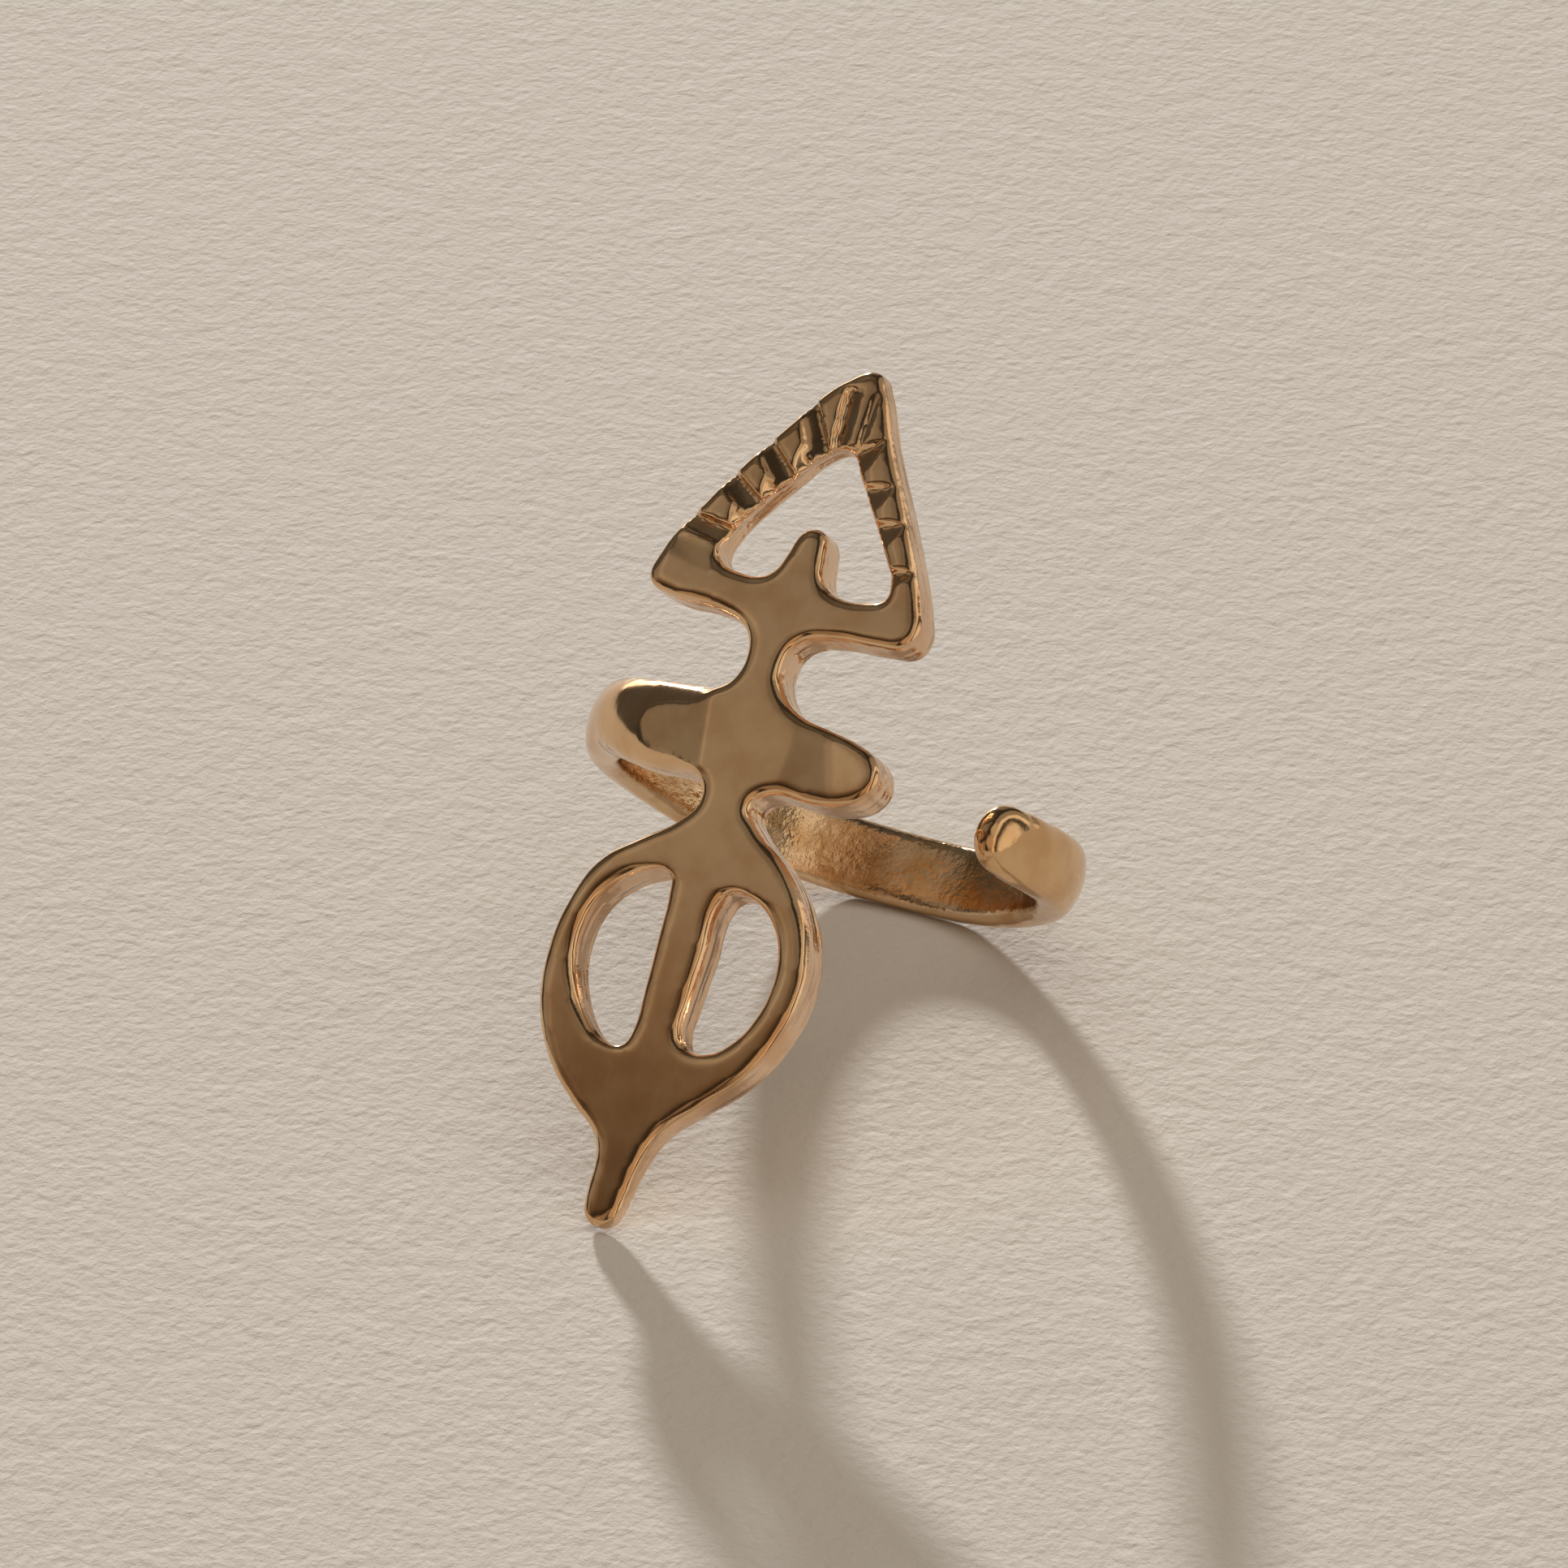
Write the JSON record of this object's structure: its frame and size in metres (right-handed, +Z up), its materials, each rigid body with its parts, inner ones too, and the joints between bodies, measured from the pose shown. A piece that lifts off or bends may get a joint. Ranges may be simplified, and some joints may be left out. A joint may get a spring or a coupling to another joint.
{
  "type": "finger ring",
  "caption": "Open finger ring cast in one piece: a long pierced figure worn along the finger, its crossbar running round the finger as a rounded band with a free end",
  "frame": {"origin": "centre of the ring's base on the surface it lies on, millimetres drawn and metres stored", "axes": "+X to the wearer's right along the crossbar, +Y backwards from the figure to the band, +Z up from the surface; the figure's long axis leans back in the YZ plane"},
  "size_m": [0.0204, 0.0284, 0.0258],
  "materials": {
    "gold_bronze": "polished warm gold-coloured cast metal, satin inside the band"
  },
  "bodies": {
    "root": {"ring": "gold_bronze"}
  },
  "joints": []
}
